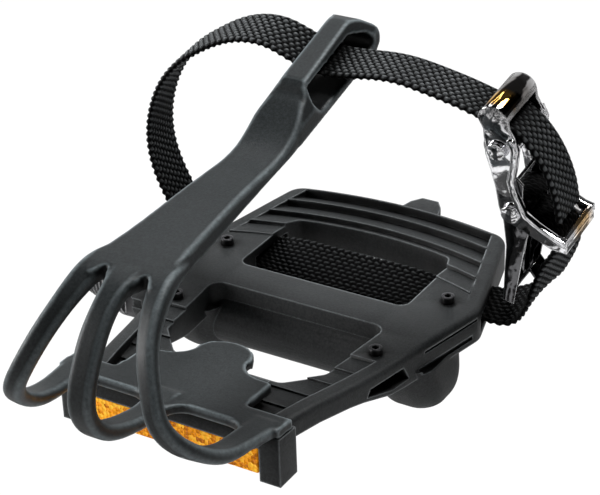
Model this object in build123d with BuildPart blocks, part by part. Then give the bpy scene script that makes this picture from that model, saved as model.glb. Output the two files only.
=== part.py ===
"""Toe clip pedal: platform body, axle unit, toe clip, strap and quick-release buckle.

Millimetres. The origin is on the spindle axis where the crank flange starts. +X points away from the
crank, +Y towards the heel, +Z up. The spindle thread runs to -X.
"""
import os
from math import cos, radians, sin, sqrt, tan

from build123d import *

os.makedirs("parts", exist_ok=True)

# Platform outline, half widths
REAR_HALF = 34.6      # at the rear corners
WIDE_HALF = 44.8      # at the widest point
WIDE_Y = 12.5
FRONT_HALF = 29.8     # where the rails end
FRONT_Y = -57.5
REAR_CORNER_Y = 50.0
RAIL = 4.6            # width of the side rails
WALL = 3.0            # walls of the moulding
DECK = 2.6            # deck plate thickness
SIDE_DEPTH = 8.8      # depth of the side walls at the middle
REAR_RISE = 1.9       # how far the rails rise at the rear corners

# Where the platform sits on the spindle
BODY_IN = 13.5        # x of the inboard end of the body
BODY_CLEAR = 1.2      # widest point of the rails from there
MID = BODY_IN + BODY_CLEAR + WIDE_HALF   # x of the platform's middle plane
TOP = 12.0            # z of the platform's top face above the spindle axis

# Concentric arcs of the rear tread
ARC_Y = -80.0         # centre of the arcs on the middle plane
TREAD_R = 106.4       # first tooth
TREAD_PITCH = 6.475
TOOTH_TOPS = (0.5, 0.9, 1.3, 1.8, 2.3)
TOOTH_FEET = (-0.1, -0.2, -0.3, -0.4, -0.4)
REAR_R = 134.8        # outer edge behind the last tooth

# Front deck
STEP_Y = -22.7        # first step line
STEP_PITCH = 7.0
STEP_DROP = 0.55
STEPS = 5

# Windows
REAR_WIN_HALF = 26.2
REAR_WIN_Y = 5.2
REAR_WIN_R = 117.2
REAR_WIN_SIDE_Y = 29.5
FRONT_WIN_HALF = 27.0
FRONT_WIN_Y = -6.2
FRONT_WIN_WAIST = 24.2
FRONT_WIN_WAIST_Y = -33.0
FRONT_WIN_END_HALF = 16.0
FRONT_WIN_END_Y = -42.0

# Front wall and legs
LEG_HALF = 32.3       # outer faces of the legs
LEG_INNER = 26.4
LEG_REAR_Y = -61.2
NOSE_Y = -68.9        # front faces of the legs
LEG_FOOT = -10.0      # below the platform top

# Seat of the toe clip plate: height at one station, rising towards the toe
PLATE_Y = -40.0
PLATE_Z = 1.2
PLATE_SLOPE = 0.09
SEAT_GAP = 0.03       # moulding clearance between pieces that lie on each other

# Side bulges: depth, inner and outer x from the widest point, front y, rear y, corner radius
BULGE_IN = ((-6.6, -20.8, -1.4, -14.5, 10.5, 7.0), (-14.0, -20.8, -0.2, -12.0, 10.4, 8.5),
            (-20.5, -20.3, -3.6, -8.5, 7.6, 7.0), (-23.4, -18.8, -8.2, -5.0, 4.6, 4.5))
BULGE_OUT = ((-6.6, -20.8, -3.0, -14.5, 10.2, 6.0), (-14.0, -20.8, -2.0, -12.0, 10.0, 7.0),
             (-20.5, -20.3, -3.2, -8.5, 8.0, 6.5), (-23.4, -18.8, -6.8, -5.0, 5.0, 4.5))

# Barrel and axle bore
BARREL_R = 9.4
BORE_R = 8.0

# Strap slots through the side walls
SLOT_Y = (14.0, 30.6)
SLOT_Z = (-7.4, -2.7)

# Flip tab at the rear, from the rear edge
TAB_HALF = 6.6
TAB_OUT = 15.4

# Traction pins
PIN_SPOTS = ((35.0, 13.0), (-35.0, 13.0), (30.7, -19.0), (-30.7, -19.0))
PIN_R = 1.75
PIN_HEIGHT = 1.9
PIN_DEPTH = 2.2

# Axle unit, radii and stations along x
THREAD_R = 7.14       # 9/16 in thread
THREAD_LEN = 12.5
FLANGE_R = 10.2
FLANGE_LEN = 2.2
FLATS = 15.0
FLATS_END = 6.2
JOURNAL_R = 6.5
JOURNAL_END = BODY_IN + 13.0
SHAFT_R = 5.2
SHAFT_END = MID + 22.5
TAIL_R = 4.0
SPINDLE_END = MID + 37.2
RUN_FIT = 0.05        # radial clearance of running fits
BOLT_R = 10.6
BOLT_START = 6.6
BOLT_END = BODY_IN + 12.0
BOLT_NOTCH = 3.6
SLEEVE_END = MID + 37.2
SLEEVE_IN = 6.6
BALL_R = 1.19
BALL_RING = 5.3
BALL_X = MID + 26.5
BALLS = 11

# Toe clip
PLATE = 2.8           # base plate thickness
HEAD_TILT = 16.5      # slope of the strap loop, degrees
FINGER_ROUND = 1.3    # corner radius of the fingers
# Stations along the fingers: x, y, z of the centre, width, thickness, lean of the width in degrees
MID_FINGER = ((0, -72, 45.2, 8.6, 3.8, 0), (0, -78, 45.0, 9.0, 4.4, 0), (0, -82, 44.5, 7.8, 4.4, 0),
              (0, -86, 43.0, 6.5, 4.2, 0), (-0.2, -91.7, 38.4, 6.4, 4.0, 0),
              (-0.3, -97.8, 29.2, 6.6, 4.0, 0),
              (-0.3, -100.1, 20.8, 6.6, 4.0, 0), (-0.3, -97, 13.6, 6.6, 4.0, 0),
              (-0.2, -90.5, 9.3, 6.7, 4.0, 0), (0, -82, 6.9, 7.0, 3.4, 0), (0, -72, 5.74, 8.0, 2.9, 0),
              (0, -66, 5.14, 8.4, 2.8, 0))
SIDE_FINGER = ((7.3, -68.5, 45.9, 4.6, 3.4, 0), (8.8, -75.5, 45.3, 6.2, 4.2, 6),
               (10.2, -81.5, 43.9, 6.2, 4.4, 16), (12.2, -88.6, 39.4, 5.4, 4.1, 22),
               (14.2, -93.2, 34.7, 5.2, 3.9, 24), (16.8, -96.6, 28.9, 5.1, 3.9, 23),
               (19.4, -98.8, 23.0, 5.1, 3.9, 20), (21.8, -97.9, 18.2, 5.2, 3.9, 14),
               (23.9, -94.2, 13.6, 5.5, 3.9, 8), (25.6, -88.5, 9.3, 6.1, 3.8, 3),
               (26.5, -80.5, 6.6, 7.0, 3.3, 0), (27.2, -72, 5.74, 7.8, 2.9, 0),
               (27.2, -66, 5.14, 8.0, 2.8, 0))
SCREW_SPOTS = ((9.0, -57.0), (-9.0, -57.0))
SCREW_R = 2.0
PLATE_HOLE_TOP = 4.3  # blind holes in the plate end here

REFLECTOR = (26.0, -8.2, -0.75)  # half width, foot and top of the lens
REFLECTOR_T = 3.4
BASE_T = 2.0
WASHER_R = 4.2
WASHER_T = 0.8
SCREW_HEAD_R = 3.5
SCREW_HEAD = 2.2

# Strap and buckle lie about one leaning plane
LEAN = 9.0            # degrees
LEAN_Y = 20.8         # where that plane meets the platform top
STRAP_W = 12.6
STRAP_T = 1.9
CHEEK_T = 0.9
CHEEK_GAP = 15.2      # inside width between the cheeks
RIM_T = 0.8           # turned-out rims of the cheeks
RIVET_UP = (52.8, 54.7)
RIVET_LOW = (55.7, 36.3)
RIVET_R = 1.6
ROLLER_R = 4.3
GUARD = (52.2, 63.2, 3.6)   # centre and middle radius of the curled guard
STRAP_LINE = ((60.8, 38.0), (57.6, 39.3), (54.2, 38.7), (52.9, 36.2), (54.5, 33.7), (58.5, 33.2),
              (63.2, 32.6),
              (66.5, 30.0), (67.4, 26.4), (64.2, 17.5), (60.2, 9.6), (55.6, 2.6), (50.0, -2.6), (43.0, -4.8),
              (34.0, -5.1), (26.0, -4.7), (19.0, -3.2), (10.0, -2.5), (0.0, -2.3), (-10.0, -2.5),
              (-19.0, -3.2),
              (-26.0, -4.7), (-34.0, -5.1), (-43.0, -4.6), (-49.5, -1.4), (-54.3, 7.0), (-57.4, 15.5),
              (-58.9, 25.2), (-58.2, 33.2), (-55.6, 42.0), (-52.0, 49.2), (-47.0, 55.8), (-42.0, 60.4),
              (-36.0, 64.6), (-28.0, 68.7), (-20.0, 70.6), (-13.0, 70.0), (-6.5, 67.4), (0.0, 65.6),
              (7.0, 65.4),
              (14.0, 66.3), (23.0, 66.9), (32.0, 65.6), (42.0, 63.3), (49.0, 61.3), (53.2, 60.3),
              (57.2, 58.6),
              (60.6, 55.2), (63.4, 50.8), (65.4, 46.0), (66.8, 40.5), (67.4, 34.6))

deck = Plane((MID, 0, TOP))
side = Plane((MID, 0, TOP), x_dir=(0, 1, 0), z_dir=(1, 0, 0))
axle = Plane((0, 0, 0), x_dir=(0, 1, 0), z_dir=(1, 0, 0))
strap_plane = Plane((MID, LEAN_Y, TOP), x_dir=(1, 0, 0),
                    z_dir=(0, -cos(radians(LEAN)), -sin(radians(LEAN))))
head_plane = Plane((MID, -20, TOP + 60 - 20 * tan(radians(HEAD_TILT))), x_dir=(-1, 0, 0),
                   z_dir=(0, cos(radians(HEAD_TILT)), sin(radians(HEAD_TILT))))


def edge_half(y):
    """Half width of the platform outline at a station along the foot."""
    if y >= WIDE_Y:
        return WIDE_HALF + (REAR_HALF - WIDE_HALF) * (y - WIDE_Y) / (REAR_CORNER_Y - WIDE_Y)
    return WIDE_HALF + (FRONT_HALF - WIDE_HALF) * (y - WIDE_Y) / (FRONT_Y - WIDE_Y)


def arc_y(radius, x):
    """Station of one of the concentric arcs at a distance from the middle plane."""
    return ARC_Y + sqrt(radius * radius - x * x)


def outline(inset, front_y):
    """Plan outline of the platform as a closed wire, moved in by an inset."""
    rear_r = REAR_R - inset
    rear_half = REAR_HALF - inset
    corner = arc_y(rear_r, rear_half)
    front = edge_half(front_y) - inset
    wide = WIDE_HALF - 1.05 * inset
    with BuildLine() as wire:
        arc = ThreePointArc((-rear_half, corner), (0, ARC_Y + rear_r), (rear_half, corner))
        Polyline(arc @ 1, (wide, WIDE_Y), (front, front_y), (-front, front_y), (-wide, WIDE_Y), arc @ 0)
    return wire.line


def rear_window(grow):
    """Rear window outline, grown by an amount."""
    half = REAR_WIN_HALF + grow
    far = REAR_WIN_R + grow
    shoulder = half - 2.0
    with BuildLine() as wire:
        arc = ThreePointArc((-shoulder, arc_y(far, shoulder)), (0, ARC_Y + far),
                            (shoulder, arc_y(far, shoulder)))
        Polyline(arc @ 1, (half, REAR_WIN_SIDE_Y), (half, REAR_WIN_Y - grow), (-half, REAR_WIN_Y - grow),
                 (-half, REAR_WIN_SIDE_Y), arc @ 0)
    return wire.line


def front_window(grow):
    """Front window outline, grown by an amount."""
    with BuildLine() as wire:
        Polyline((FRONT_WIN_HALF + grow, FRONT_WIN_Y + grow), (FRONT_WIN_WAIST + grow, FRONT_WIN_WAIST_Y),
                 (FRONT_WIN_END_HALF + grow, FRONT_WIN_END_Y - grow),
                 (-FRONT_WIN_END_HALF - grow, FRONT_WIN_END_Y - grow),
                 (-FRONT_WIN_WAIST - grow, FRONT_WIN_WAIST_Y), (-FRONT_WIN_HALF - grow, FRONT_WIN_Y + grow),
                 close=True)
    return wire.line


def plate_under(y):
    """Height of the toe clip plate's underside above the platform top."""
    return PLATE_Z + (PLATE_Y - y) * PLATE_SLOPE


def band(points, half, plane=side):
    """A side view polygon spread to both sides of the middle plane."""
    with BuildPart() as block:
        with BuildSketch(plane):
            with BuildLine():
                Polyline(*points, close=True)
            make_face()
        extrude(amount=half, both=True)
    return block.part


def slab(wire, bottom, top):
    """A plan view outline between two heights from the platform top."""
    with BuildPart() as block:
        with BuildSketch(deck.offset(bottom)):
            with BuildLine():
                add(wire)
            make_face()
        extrude(amount=top - bottom)
    return block.part


def polygon(*points):
    """A closed straight-sided wire in plan."""
    with BuildLine() as wire:
        Polyline(*points, close=True)
    return wire.line


def bulge(sign, sections):
    """Smooth bulge under one side of the platform that houses a barrel end."""
    with BuildPart() as hull:
        for depth, inner, outer, front, rear, round_r in sections:
            with BuildSketch(deck.offset(depth)):
                with Locations((sign * (WIDE_HALF + (inner + outer) / 2), (front + rear) / 2)):
                    RectangleRounded(outer - inner, rear - front, round_r)
        loft()
    return hull.part


def finger(stations):
    """A bar of rounded rectangular section through stations along its middle line."""
    middle = [Vector(MID + x, y, TOP + z) for x, y, z, *_ in stations]
    with BuildPart() as bar:
        for i, (x, y, z, width, thick, lean) in enumerate(stations):
            along = middle[min(i + 1, len(middle) - 1)] - middle[max(i - 1, 0)]
            with BuildSketch(Plane(middle[i], x_dir=(cos(radians(lean)), 0, sin(radians(lean))),
                             z_dir=along)):
                RectangleRounded(width, thick, FINGER_ROUND)
        loft()
    return bar.part


def ribbon(points, thick, width, plane):
    """A strip of even thickness along a curve drawn in a plane."""
    with BuildLine():
        curve = Spline(*points)
    count = 2 * len(points)
    stations = [(curve.position_at(i / count), curve.tangent_at(i / count)) for i in range(count + 1)]
    with BuildPart() as strip:
        with BuildSketch(plane):
            with BuildLine():
                one = Spline(*[(p.X - t.Y * thick / 2, p.Y + t.X * thick / 2) for p, t in stations])
                two = Spline(*[(p.X + t.Y * thick / 2, p.Y - t.X * thick / 2) for p, t in stations])
                Line(one @ 0, two @ 0)
                Line(one @ 1, two @ 1)
            make_face()
        extrude(amount=width / 2, both=True)
    return strip.part


def turned(points):
    """A body of revolution on the spindle axis from (x, radius) points."""
    with BuildPart() as round_part:
        with BuildSketch(Plane.XY):
            with BuildLine():
                Polyline(*points, close=True)
            make_face()
        revolve(axis=Axis.X)
    return round_part.part


# Saw-tooth tread of the rear deck, cut from rings about the centre of the arcs
tooth_line = [(88.0, -3.0), (88.0, 0.0), (TREAD_R, 0.0), (TREAD_R, TOOTH_TOPS[0])]
for tooth in range(1, len(TOOTH_TOPS)):
    tooth_r = TREAD_R + tooth * TREAD_PITCH
    tooth_line += [(tooth_r, TOOTH_FEET[tooth]), (tooth_r, TOOTH_TOPS[tooth])]
last_r = TREAD_R + (len(TOOTH_TOPS) - 1) * TREAD_PITCH
tooth_line += [(last_r + 1.0, TOOTH_TOPS[-1] - 0.3), (REAR_R - 0.4, -0.3), (REAR_R - 0.4, -3.0)]
half_near = edge_half(13.0) - RAIL
half_far = edge_half(49.5) - RAIL
tread_zone = polygon((-half_near, 13.0), (half_near, 13.0), (half_far, 49.5), (half_far - 3, 58),
                     (3 - half_far, 58), (-half_far, 49.5))
tread_block = slab(tread_zone, -3, 5)
tread_room = slab(tread_zone, -1.6, 8)

with BuildPart() as tread:
    with BuildSketch(Plane((MID, ARC_Y, TOP), x_dir=(0, 1, 0), z_dir=(1, 0, 0))):
        with BuildLine():
            Polyline(*tooth_line, close=True)
        make_face()
    revolve(axis=Axis((MID, ARC_Y, TOP), (0, 0, 1)))
    add(tread_block, mode=Mode.INTERSECT)

# Space above the front deck between the rails: low teeth with their steep sides towards the toe
front_line = [(STEP_Y, 9.0), (STEP_Y, -STEP_DROP)]
for step in range(1, STEPS):
    step_y = STEP_Y - step * STEP_PITCH
    front_line += [(step_y, -0.1 * step), (step_y, -0.1 * step - STEP_DROP)]
front_line += [(LEG_REAR_Y, -0.1 * STEPS), (LEG_REAR_Y, 9.0)]
front_air = band(front_line, 60)
front_zone = slab(polygon(*[(sign * (edge_half(y) - RAIL), y) for sign, y in
                            ((1, STEP_Y), (1, LEG_REAR_Y), (-1, LEG_REAR_Y), (-1, STEP_Y))]), -6, 14)

with BuildPart() as front_space:
    add(front_zone)
    add(front_air, mode=Mode.INTERSECT)

# Space under the deck plate, inside the walls
under_air = band([(60, -30), (60, -DECK - 0.6), (20, -DECK), (-21, -DECK), (-23, -DECK - 0.7),
                  (-58, -DECK - 1.2), (-58, -30)], 60)
room = slab(outline(WALL, FRONT_Y), -30, 10)
rear_wall = slab(rear_window(WALL - 0.4), -30, 10)
front_wall = slab(front_window(WALL - 0.4), -30, 10)

with BuildPart() as pocket_back:
    add(band([(-34, -12), (-34, 0), (-14, 0), (-14, -12)], 60))
    add(slab(outline(6.2, FRONT_Y), -30, 10), mode=Mode.SUBTRACT)

with BuildPart() as hollow:
    add(room)
    add(under_air, mode=Mode.INTERSECT)
    add(rear_wall, mode=Mode.SUBTRACT)
    add(front_wall, mode=Mode.SUBTRACT)
    add(pocket_back.part, mode=Mode.SUBTRACT)
    with BuildSketch(deck.offset(-30)):
        with Locations((0, (REAR_WIN_Y + FRONT_WIN_Y) / 2)):
            Rectangle(120, REAR_WIN_Y - FRONT_WIN_Y + 2 * WALL)
    extrude(amount=40, mode=Mode.SUBTRACT)

# Whole pieces that the body is joined from or cut by
with BuildPart() as body_side:
    with BuildSketch(side):
        with BuildLine():
            fall = Spline((60, REAR_RISE + 0.2), (50, REAR_RISE), (33, 0.45 * REAR_RISE), (14, 0),
                          tangents=[(-1, 0), (-1, 0)])
            flat = Line(fall @ 1, (-8, 0))
            rise = Spline(flat @ 1, (-38, 1.2), (-50, 2.4), (-63, 2.9), tangents=[(-1, 0), (-1, 0.02)])
            Polyline(rise @ 1, (-63, -2.6), (-49, -3.2), (-38, -4.6), (-33, -5.6), (-23, -8.4),
                     (-17, -SIDE_DEPTH), (33.5, -SIDE_DEPTH), (38, -7.5), (60, -6.8), fall @ 0)
        make_face()
    extrude(amount=60, both=True)

nose = band([(NOSE_Y, plate_under(NOSE_Y) - SEAT_GAP), (NOSE_Y, LEG_FOOT), (LEG_REAR_Y, LEG_FOOT),
             (LEG_REAR_Y, plate_under(LEG_REAR_Y) - SEAT_GAP)], LEG_HALF)
pad = band([(LEG_REAR_Y - 1, plate_under(LEG_REAR_Y - 1) - SEAT_GAP), (LEG_REAR_Y - 1, -2.4), (-45, -2.4),
            (-45, plate_under(-45) - SEAT_GAP)], 15)
rear_y = ARC_Y + REAR_R
tab_plan = slab(polygon((TAB_HALF, rear_y - 2.6), (TAB_HALF - 0.3, rear_y + 0.5 * TAB_OUT),
                        (TAB_HALF - 1.6, rear_y + 0.8 * TAB_OUT), (TAB_HALF - 3.9, rear_y + TAB_OUT),
                        (3.9 - TAB_HALF, rear_y + TAB_OUT), (1.6 - TAB_HALF, rear_y + 0.8 * TAB_OUT),
                        (0.3 - TAB_HALF, rear_y + 0.5 * TAB_OUT), (-TAB_HALF, rear_y - 2.6)), -9, 0)
tab_side = band([(rear_y - 3, -6.6), (rear_y - 3, -2.4), (rear_y, -3.6), (rear_y + 6, -4.4),
                (rear_y + 16, -3.9),
                 (rear_y + 16, -5.9), (rear_y + 6, -7.0)], 10)
side_hole = band([(-31.6, -4.9), (-30.6, -2.9), (-18, -2.8), (-16, -6.8), (-22, -7.2)], 60)
side_slit = band([(-9.7, -2.45), (-9.7, -1.85), (11.6, -1.85), (11.6, -2.45)], 60)
side_groove = band([(-12, -7.3), (-12, -6.1), (9.5, -6.1), (9.5, -7.3)], 60)
slot_cut = band([(SLOT_Y[0], SLOT_Z[0]), (SLOT_Y[1], SLOT_Z[0]), (SLOT_Y[1], SLOT_Z[1]),
                 (SLOT_Y[0], SLOT_Z[1])], 60)
reflector_room = band([(NOSE_Y - 1, -0.6), (NOSE_Y - 1, -12), (LEG_REAR_Y + 1, -12), (LEG_REAR_Y + 1, -8.6),
                       (LEG_REAR_Y - 1.6, -8.6), (LEG_REAR_Y - 1.6, -0.6)], LEG_INNER)
core = slab(outline(0.6, FRONT_Y), -30, 10)
pocket_floor = slab(outline(4.8, FRONT_Y), -30, 10)
in_bulge = bulge(-1, BULGE_IN)
out_bulge = bulge(1, BULGE_OUT)

with BuildPart() as grooves:
    add(side_slit)
    add(side_groove)
    add(core, mode=Mode.SUBTRACT)

with BuildPart() as pockets:
    add(side_hole)
    add(pocket_floor, mode=Mode.SUBTRACT)

with BuildPart() as pedal_body:
    with BuildSketch(deck.offset(-SIDE_DEPTH)):
        with BuildLine():
            add(outline(0, LEG_REAR_Y - 1))
        make_face()
        fillet([v for v in vertices() if v.Y > 40], 6)
        fillet([v for v in vertices() if abs(v.Y - WIDE_Y) < 1], 8)
    extrude(amount=SIDE_DEPTH + 5)
    add(body_side.part, mode=Mode.INTERSECT)
    rim = [e for e in edges() if e.center().Z > TOP - 0.5 and e.center().Y > LEG_REAR_Y - 0.5]
    fillet([e for e in rim if abs(e.center().X - MID) > 1 or e.center().Y > 40], 1.8)
    add(front_space.part, mode=Mode.SUBTRACT)
    add(tread_room, mode=Mode.SUBTRACT)
    add(tread.part)
    add(hollow.part, mode=Mode.SUBTRACT)
    for window, corners in ((rear_window(0), 3.0), (front_window(0), 3.5)):
        with BuildSketch(deck.offset(-30)):
            with BuildLine():
                add(window)
            make_face()
            fillet(vertices(), corners)
        extrude(amount=40, mode=Mode.SUBTRACT)
    add(nose)
    add(pad)
    add(tab_plan & tab_side)
    add(reflector_room, mode=Mode.SUBTRACT)
    with BuildSketch(axle.offset(BODY_IN + 6)):
        Circle(BARREL_R)
    extrude(amount=2 * (MID - BODY_IN - 6))
    add(in_bulge)
    add(out_bulge)
    add(grooves.part, mode=Mode.SUBTRACT)
    add(pockets.part, mode=Mode.SUBTRACT)
    add(slot_cut, mode=Mode.SUBTRACT)
    with BuildSketch(axle.offset(BODY_IN - 2)):
        Circle(BORE_R)
    extrude(amount=SLEEVE_END + 1 - BODY_IN + 2, mode=Mode.SUBTRACT)
    with BuildSketch(deck):
        with Locations(*PIN_SPOTS):
            Circle(PIN_R + 0.02)
    extrude(amount=PIN_DEPTH + 0.1, both=True, mode=Mode.SUBTRACT)
    with BuildSketch(deck):
        with Locations(*SCREW_SPOTS):
            Circle(SCREW_R + 0.1)
    extrude(amount=8, both=True, mode=Mode.SUBTRACT)

pedal_body.part.label = "pedal_body"
export_step(pedal_body.part, "parts/pedal_body.step")

# Traction pins: studs with hollow tips, pressed into the deck
with BuildPart() as traction_pins:
    with BuildSketch(deck.offset(-PIN_DEPTH)):
        with Locations(*PIN_SPOTS):
            Circle(PIN_R)
    extrude(amount=PIN_DEPTH + PIN_HEIGHT)
    with BuildSketch(deck.offset(PIN_HEIGHT)):
        with Locations(*PIN_SPOTS):
            RegularPolygon(PIN_R * 0.6, 6)
    extrude(amount=-1.2, mode=Mode.SUBTRACT)

traction_pins.part.label = "traction_pins"
export_step(traction_pins.part, "parts/traction_pins.step")

# Toe clip: base plate, three fingers, arm and the head with the strap loop
plate_half = [(0, -36.0), (3.5, -36.6), (6.5, -38.8), (8.2, -42.0), (8.0, -44.5), (9.0, -46.5),
              (12.5, -49.3), (18.9, -50.0), (19.3, -62.4), (LEG_HALF - 0.1, -62.4),
              (LEG_HALF - 0.1, NOSE_Y + 0.1), (30.8, NOSE_Y + 0.1), (30.2, -76.0), (24.4, -76.0),
              (23.9, -73.6), (23.0, -72.0), (21.3, -70.8), (19.3, -70.3), (8.4, -70.3), (6.4, -70.8),
              (4.8, -72.0), (3.9, -73.6), (3.4, -76.0)]
plate_plan = slab(polygon(*plate_half, *[(-x, y) for x, y in reversed(plate_half) if x > 0]), -2, 12)
plate_side = band([(-34, plate_under(-34)), (-34, plate_under(-34) + PLATE),
                   (-80, plate_under(-80) + PLATE), (-80, plate_under(-80))], 40)
mid_finger = finger(MID_FINGER)
right_finger = finger(SIDE_FINGER)
left_finger = mirror(right_finger, about=side)

with BuildPart() as arm:
    with BuildSketch(side):
        with BuildLine():
            top_line = Spline((-83.0, 45.8), (-79, 47.0), (-66.5, 48.5), (-36, 51.0), (-20, 53.4),
                              (-14.4, 56.8), (-9.4, 60.6), (-4.5, 63.2))
            low_line = Spline((-83.0, 42.4), (-79, 42.7), (-65, 43.2), (-48.8, 44.9), (-24.6, 48.4),
                              (-4.5, 53.5))
            Line(top_line @ 0, low_line @ 0)
            Line(top_line @ 1, low_line @ 1)
        make_face()
    extrude(amount=20, both=True)
    with BuildSketch(deck.offset(30), mode=Mode.PRIVATE) as arm_plan:
        with BuildLine():
            right_edge = Spline((12.0, -83.0), (11.2, -78.5), (10.0, -70), (8.5, -53), (7.4, -36),
                                (7.1, -22), (7.0, -14), (6.0, -9.8), (4.4, -6.6), (3.6, -4))
            left_edge = Spline((-12.0, -83.0), (-11.2, -78.5), (-10.0, -70), (-8.5, -53), (-7.4, -36),
                               (-7.1, -22), (-7.0, -14), (-6.0, -9.8), (-4.4, -6.6), (-3.6, -4))
            Polyline(right_edge @ 0, (7.9, -83.0), (5.4, -78.8), (4.0, -83.0), (-4.0, -83.0), (-5.4, -78.8),
                     (-7.9, -83.0), left_edge @ 0)
            Line(right_edge @ 1, left_edge @ 1)
        make_face()
        fillet([v for v in vertices() if v.Y < -78 and abs(abs(v.X) - 5.4) < 0.1], 0.8)
    extrude(arm_plan.sketch, amount=50, mode=Mode.INTERSECT)
    fillet([e for e in edges() if abs(e.tangent_at(0.5).Y) > 0.7 and e.length > 30], 1.1)

with BuildPart() as head:
    with BuildSketch(side):
        with BuildLine():
            Polyline((-14, 50.9), (-14.2, 55.0), (-12, 57.6), (-9.6, 60.0), (-7.8, 61.2), (-6.2, 63.5),
                     (-4.6, 65.0),
                     (16.5, 72), (19, 72.5), (23, 71.6), (26.4, 69.4), (28.2, 66.6), (28, 64), (26, 61.8),
                     (14.4, 58.5), close=True)
        make_face()
        fillet([v for v in vertices() if v.Y > 0 and v.Z > TOP + 60], 1.5)
    extrude(amount=20, both=True)
    with BuildSketch(head_plane, mode=Mode.PRIVATE) as house:
        with BuildLine():
            Polyline((-7.2, -12), (7.2, -12), (7.2, 0.2), (3.6, 5.6), (3.0, 7.0), (3.0, 12), (-3.0, 12),
                     (-3.0, 7.0),
                     (-3.6, 5.6), (-7.2, 0.2), close=True)
        make_face()
    extrude(house.sketch, amount=60, mode=Mode.INTERSECT)
    with BuildSketch(side):
        with BuildLine():
            Polyline((-5, 63.2), (16.5, 69.5), (22.5, 68.4), (25.2, 65.6), (23.8, 63.7), (13.8, 60.8),
                     (-2.8, 56.6),
                     (-5.8, 59), close=True)
        make_face()
        fillet(vertices(), 1.3)
    extrude(amount=20, both=True, mode=Mode.SUBTRACT)

with BuildPart() as toe_clip:
    add(plate_plan)
    add(plate_side, mode=Mode.INTERSECT)
    add(arm.part)
    add(head.part)
    add(mid_finger)
    add(right_finger)
    add(left_finger)
    with BuildSketch(deck):
        with Locations(*SCREW_SPOTS):
            Circle(SCREW_R + 0.02)
    extrude(amount=PLATE_HOLE_TOP, mode=Mode.SUBTRACT)

toe_clip.part.label = "toe_clip"
export_step(toe_clip.part, "parts/toe_clip.step")

# Clip screws and washers, from below through the front deck into the plate
floor_z = -3.1        # underside of the front deck at the screws
with BuildPart() as clip_washers:
    with BuildSketch(deck.offset(floor_z - WASHER_T)):
        with Locations(*SCREW_SPOTS):
            Circle(WASHER_R)
            Circle(SCREW_R + 0.2, mode=Mode.SUBTRACT)
    extrude(amount=WASHER_T - SEAT_GAP)

clip_washers.part.label = "clip_washers"
export_step(clip_washers.part, "parts/clip_washers.step")

with BuildPart() as clip_screws:
    with BuildSketch(deck.offset(floor_z - WASHER_T - SEAT_GAP)):
        with Locations(*SCREW_SPOTS):
            Circle(SCREW_HEAD_R)
    extrude(amount=-SCREW_HEAD)
    fillet(edges().group_by(Axis.Z)[0], 1.2)
    with BuildSketch(deck.offset(floor_z - WASHER_T - SEAT_GAP)):
        with Locations(*SCREW_SPOTS):
            Circle(SCREW_R)
    extrude(amount=PLATE_HOLE_TOP - 0.1 - floor_z + WASHER_T + SEAT_GAP)
    with BuildSketch(deck.offset(floor_z - WASHER_T - SEAT_GAP - SCREW_HEAD)):
        with Locations(*SCREW_SPOTS):
            Rectangle(3.6, 0.9)
            Rectangle(0.9, 3.6)
    extrude(amount=1.3, mode=Mode.SUBTRACT)

clip_screws.part.label = "clip_screws"
export_step(clip_screws.part, "parts/clip_screws.step")

# Front reflector: moulded lens on a base that fits the opening between the legs
lens_plane = Plane((MID, NOSE_Y + 0.2, TOP + (REFLECTOR[1] + REFLECTOR[2]) / 2), x_dir=(1, 0, 0),
                   z_dir=(0, -1, 0))
lens_size = (2 * REFLECTOR[0], REFLECTOR[2] - REFLECTOR[1])

with BuildPart() as front_reflector:
    with BuildSketch(lens_plane):
        RectangleRounded(*lens_size, 0.6)
    extrude(amount=-REFLECTOR_T)
    fillet(faces().sort_by(Axis.Y)[0].edges(), 0.4)

front_reflector.part.label = "front_reflector"
export_step(front_reflector.part, "parts/front_reflector.step")

with BuildPart() as reflector_base:
    with BuildSketch(lens_plane.offset(-REFLECTOR_T - SEAT_GAP)):
        RectangleRounded(*lens_size, 0.6)
    extrude(amount=-BASE_T)
    with BuildSketch(lens_plane.offset(-REFLECTOR_T - SEAT_GAP - 1.0)):
        Rectangle(lens_size[0] - 2.4, lens_size[1] - 2.4)
    extrude(amount=-BASE_T, mode=Mode.SUBTRACT)

reflector_base.part.label = "reflector_base"
export_step(reflector_base.part, "parts/reflector_base.step")

# Strap: one band from the buckle through both side slots, over the toe clip head and back into the buckle
strap_band = ribbon(STRAP_LINE, STRAP_T, STRAP_W, strap_plane)
strap_band.label = "strap"
export_step(strap_band, "parts/strap.step")

# Buckle frame: two cheeks, the curled guard over the strap and the lower bar, stamped from one sheet
cheek_out = CHEEK_GAP / 2 + CHEEK_T
guard_x, guard_v, guard_r = GUARD
cheek_edge = [(70.6, 31.6), (68.2, 32.2), (63.3, 34.9), (60.2, 37.2), (58.2, 42), (57.2, 46.4), (58.2, 51),
              (58.9, 55.9), (57.6, 59), (56.5, 61.2)]
cheek_line = [(49.4, 60.5), (49.6, 53), (50.8, 48), (51.8, 43), (52.4, 37.5), (53.6, 33.6), (57, 32.4),
              (66.5, 27.9),
              (70.6, 27.6)] + cheek_edge
rim_line = cheek_edge[:-1] + [(55.9, 58.6), (57.0, 55.7), (56.5, 51), (55.4, 46.6), (56.4, 41.5),
                              (58.8, 36.2),
                              (62.5, 33.3), (67.8, 30.4), (70.6, 29.7)]
guard_out = guard_r + CHEEK_T / 2

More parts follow.
